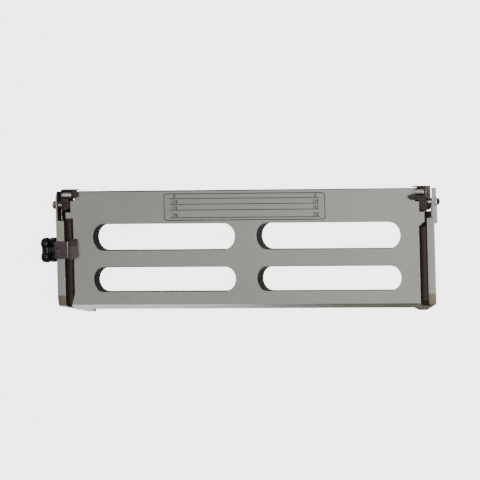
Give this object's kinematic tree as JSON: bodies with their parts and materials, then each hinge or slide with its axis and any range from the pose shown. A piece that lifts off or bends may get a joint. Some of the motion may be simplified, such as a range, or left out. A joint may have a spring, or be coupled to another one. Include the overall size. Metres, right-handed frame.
{
  "type": "dovetail jig",
  "caption": "Slotted aluminium jig plate between two end rails, with a sliding knob-clamped stop, sprung hold-down levers with rollers and a ruled scale plate.",
  "frame": {"origin": "middle of the underside of the bounding box, on the plane that the backs of the rails rest on", "axes": "+X along the jig, +Y up the face plate, +Z out of the face that carries the work"},
  "size_m": [0.537, 0.1434, 0.0339],
  "materials": {
    "blasted_aluminium": "matt, bead-blasted",
    "bronzed_steel": "dark bronze, satin",
    "cast_block": "speckled purple-brown cast finish",
    "black_plastic": "black, slightly worn gloss",
    "brass": "turned",
    "scale_plate": "satin grey with black ruled lines",
    "black_steel": "black oxide",
    "bright_steel": "turned, slightly tarnished",
    "polished_steel": "ground and polished",
    "worn_casting": "cast, rubbed bright on its nose"
  },
  "bodies": {
    "frame": {"face_plate": "blasted_aluminium", "left_end_rail": "blasted_aluminium", "left_groove_strip": "bronzed_steel", "left_hinge_spring": "bright_steel", "left_pivot_screw": "bright_steel", "left_pivot_washer": "bright_steel", "left_rail_dowels": "bright_steel", "left_rail_screws": "black_steel", "left_strip_screws": "bronzed_steel", "right_end_rail": "blasted_aluminium", "right_groove_strip": "bronzed_steel", "right_hinge_spring": "bright_steel", "right_nut_cap": "black_steel", "right_pivot_nut": "polished_steel", "right_pivot_stud": "polished_steel", "right_rail_dowels": "bright_steel", "right_rail_screws": "black_steel", "right_strip_screws": "bronzed_steel", "scale_plate": "scale_plate"},
    "stop_carriage": {"stop_block": "cast_block", "stop_finger": "worn_casting", "stop_gib": "brass", "stop_screws": "black_steel"},
    "clamp_pad": {"pressure_pad": "brass"},
    "clamp_knob": {"knob": "black_plastic", "knob_insert": "brass", "clamp_stud": "bright_steel"},
    "left_lever_arm": {"left_lever": "bronzed_steel", "left_lever_bush": "brass", "left_roller_pin": "bright_steel"},
    "right_lever_arm": {"right_lever": "bronzed_steel", "right_lever_bush": "brass", "right_roller_pin": "bright_steel"},
    "left_roller_wheel": {"left_roller": "polished_steel"},
    "right_roller_wheel": {"right_roller": "polished_steel"}
  },
  "joints": [
    {"name": "stop_slide", "type": "slide", "parent": "frame", "child": "stop_carriage", "axis": [0, 1, 0], "range_m": [-0.038, 0.016]},
    {"name": "pad_feed", "type": "slide", "parent": "stop_carriage", "child": "clamp_pad", "axis": [-1, 0, 0], "range_m": [0, 0.0016]},
    {"name": "knob_turn", "type": "hinge", "parent": "clamp_pad", "child": "clamp_knob", "pos_m": [-0.2515, 0.00105, 0.019], "axis": [-1, 0, 0], "range_deg": [0, 540]},
    {"name": "left_lever_swing", "type": "hinge", "parent": "frame", "child": "left_lever_arm", "pos_m": [-0.237, 0.0536, 0.0196], "axis": [1, 0, 0], "range_deg": [0, 45], "stiffness_Nm_per_rad": 0.02, "springref_deg": -28.65},
    {"name": "left_roller_spin", "type": "hinge", "parent": "left_lever_arm", "child": "left_roller_wheel", "pos_m": [-0.234, 0.0648, 0.024], "axis": [1, 0, 0], "continuous": true},
    {"name": "right_lever_swing", "type": "hinge", "parent": "frame", "child": "right_lever_arm", "pos_m": [0.249, 0.0536, 0.0196], "axis": [1, 0, 0], "range_deg": [0, 45], "stiffness_Nm_per_rad": 0.02, "springref_deg": -28.65},
    {"name": "right_roller_spin", "type": "hinge", "parent": "right_lever_arm", "child": "right_roller_wheel", "pos_m": [0.246, 0.0648, 0.024], "axis": [1, 0, 0], "continuous": true}
  ],
  "couplings": [
    {"joint": "pad_feed", "follows": "knob_turn", "m_per_rad": 0.00015915}
  ]
}
